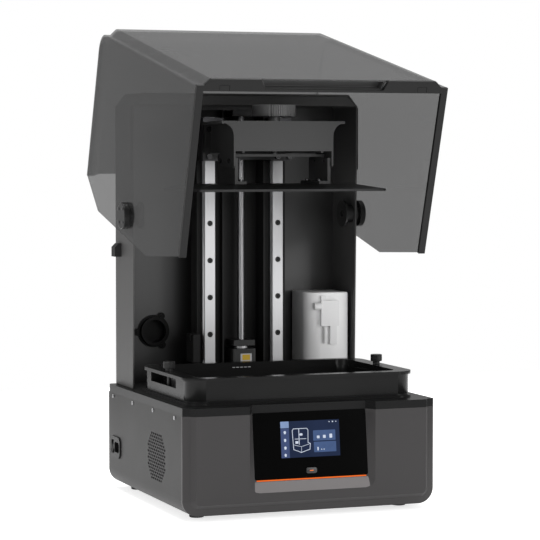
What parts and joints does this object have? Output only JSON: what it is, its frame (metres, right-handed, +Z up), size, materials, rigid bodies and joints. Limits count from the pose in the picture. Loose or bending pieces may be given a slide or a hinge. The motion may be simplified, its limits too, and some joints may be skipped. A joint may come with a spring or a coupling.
{
  "type": "resin 3d printer",
  "caption": "Desktop resin printer with its cover swung open: box base with tilted touch display, resin vat, tower with screw lift and build platform, and a hinged smoked cover",
  "frame": {"origin": "on the table under the middle of the whole printer's box, with the cover open", "axes": "+Z up; -Y is the front, where the display and the cover's open rim face; +X is the printer's right side seen from behind the display looking to the rear, so the power inlet is on -X"},
  "size_m": [0.4106, 0.5818, 0.737],
  "materials": {
    "shell_grey": "satin",
    "fascia_grey": "satin",
    "deck_grey": "satin",
    "dark_metal": "matte",
    "tower_grey": "satin",
    "display_black": "gloss",
    "lcd": "gloss",
    "button_black": "gloss",
    "orange_light": "gloss",
    "black_plastic": "satin",
    "rubber_black": "matte",
    "screw_steel": "satin",
    "screw_black": "satin",
    "socket_steel": "satin",
    "screen_glass": "gloss",
    "hood_sheet": "satin",
    "circuit_green": "satin",
    "raw_aluminium": "satin",
    "supply_steel": "satin",
    "port_black": "satin",
    "pin_steel": "satin",
    "column_black": "matte",
    "rail_steel": "gloss",
    "motor_black": "satin",
    "bearing_metal": "satin",
    "vat_black": "satin",
    "film_metal": "satin",
    "film_clear": "gloss",
    "cover_grey": "satin",
    "cover_smoke": "gloss",
    "disc_grey": "satin",
    "block_steel": "satin",
    "nut_brass": "satin",
    "arm_grey": "satin",
    "platform_metal": "satin",
    "knob_black": "satin",
    "bottle_white": "satin",
    "pump_grey": "satin"
  },
  "bodies": {
    "base": {"base_shell": "shell_grey", "front_fascia": "fascia_grey", "deck": "deck_grey", "rear_panel": "shell_grey", "feet": "rubber_black", "shell_screws": "screw_black", "display_glass": "display_black", "touch_screen": "lcd", "light_strip": "orange_light", "power_inlet": "black_plastic", "usb_socket": "socket_steel", "screen_frame": "dark_metal", "mask_screen": "screen_glass", "light_hood": "hood_sheet", "uv_led_board": "circuit_green", "led_heatsink": "raw_aluminium", "power_supply": "supply_steel", "main_board": "circuit_green", "fan_frame": "black_plastic", "tower_shell": "tower_grey", "tower_header": "tower_grey", "tower_back": "dark_metal", "exhaust_port": "port_black", "side_seals": "rubber_black", "cover_stops": "rubber_black", "hinge_pins": "pin_steel", "lift_column": "column_black", "guide_rails": "rail_steel", "rail_screws": "screw_black", "lift_motor": "motor_black", "screw_bearings": "bearing_metal", "home_sensor": "black_plastic", "vat": "vat_black", "film_frame": "film_metal", "release_film": "film_clear"},
    "cover": {"cover_roof": "cover_grey", "cover_side_left": "cover_smoke", "cover_side_right": "cover_smoke", "cover_rim": "black_plastic", "cover_handle": "black_plastic", "cover_catches": "screw_steel", "hinge_discs": "disc_grey", "hinge_screws": "screw_steel"},
    "lift": {"guide_blocks": "block_steel", "carriage_plate": "dark_metal", "lift_screws": "screw_steel", "lead_nut": "nut_brass", "arm_bracket": "arm_grey", "platform_yoke": "arm_grey", "build_platform": "platform_metal"},
    "screw": {"lead_screw": "screw_steel", "shaft_coupler": "raw_aluminium"},
    "knob": {"clamp_knob": "knob_black"},
    "vat_screw_l": {"vat_screw_left": "screw_black"},
    "vat_screw_r": {"vat_screw_right": "screw_black"},
    "rocker": {"rocker_switch": "black_plastic"},
    "button": {"power_button": "button_black"},
    "fan": {"fan_rotor": "black_plastic"},
    "bottle": {"feed_bottle": "bottle_white", "feed_pump": "pump_grey"}
  },
  "joints": [
    {"name": "cover_hinge", "type": "hinge", "parent": "base", "child": "cover", "pos_m": [0, 0.06101, 0.4396], "axis": [1, 0, 0], "range_deg": [0, 71.9]},
    {"name": "lift_slide", "type": "slide", "parent": "base", "child": "lift", "axis": [0, 0, 1], "range_m": [-0.306, 0]},
    {"name": "lead_screw_spin", "type": "hinge", "parent": "base", "child": "screw", "pos_m": [0, 0.07301, 0.4], "axis": [0, 0, 1], "continuous": true},
    {"name": "clamp_knob_turn", "type": "hinge", "parent": "lift", "child": "knob", "pos_m": [0, -0.07799, 0.6], "axis": [0, 0, 1], "continuous": true},
    {"name": "vat_screw_left_turn", "type": "hinge", "parent": "base", "child": "vat_screw_l", "pos_m": [-0.171, -0.07999, 0.2], "axis": [0, 0, 1], "continuous": true},
    {"name": "vat_screw_right_turn", "type": "hinge", "parent": "base", "child": "vat_screw_r", "pos_m": [0.171, -0.07999, 0.2], "axis": [0, 0, 1], "continuous": true},
    {"name": "rocker_press", "type": "hinge", "parent": "base", "child": "rocker", "pos_m": [-0.198, 0.11681, 0.07], "axis": [0, -1, 0], "range_deg": [0, 12]},
    {"name": "button_press", "type": "slide", "parent": "base", "child": "button", "axis": [0, 0.9935, -0.1141], "range_m": [0, 0.0012], "stiffness_N_per_m": 400, "springref_m": -0.0005},
    {"name": "fan_spin", "type": "hinge", "parent": "base", "child": "fan", "pos_m": [0, 0.12701, 0.078], "axis": [0, 1, 0], "continuous": true},
    {"name": "bottle_lift", "type": "slide", "parent": "base", "child": "bottle", "axis": [0, 0, 1], "range_m": [0, 0.1]}
  ],
  "couplings": [
    {"joint": "lead_screw_spin", "follows": "lift_slide", "rad_per_m": 785.4}
  ]
}
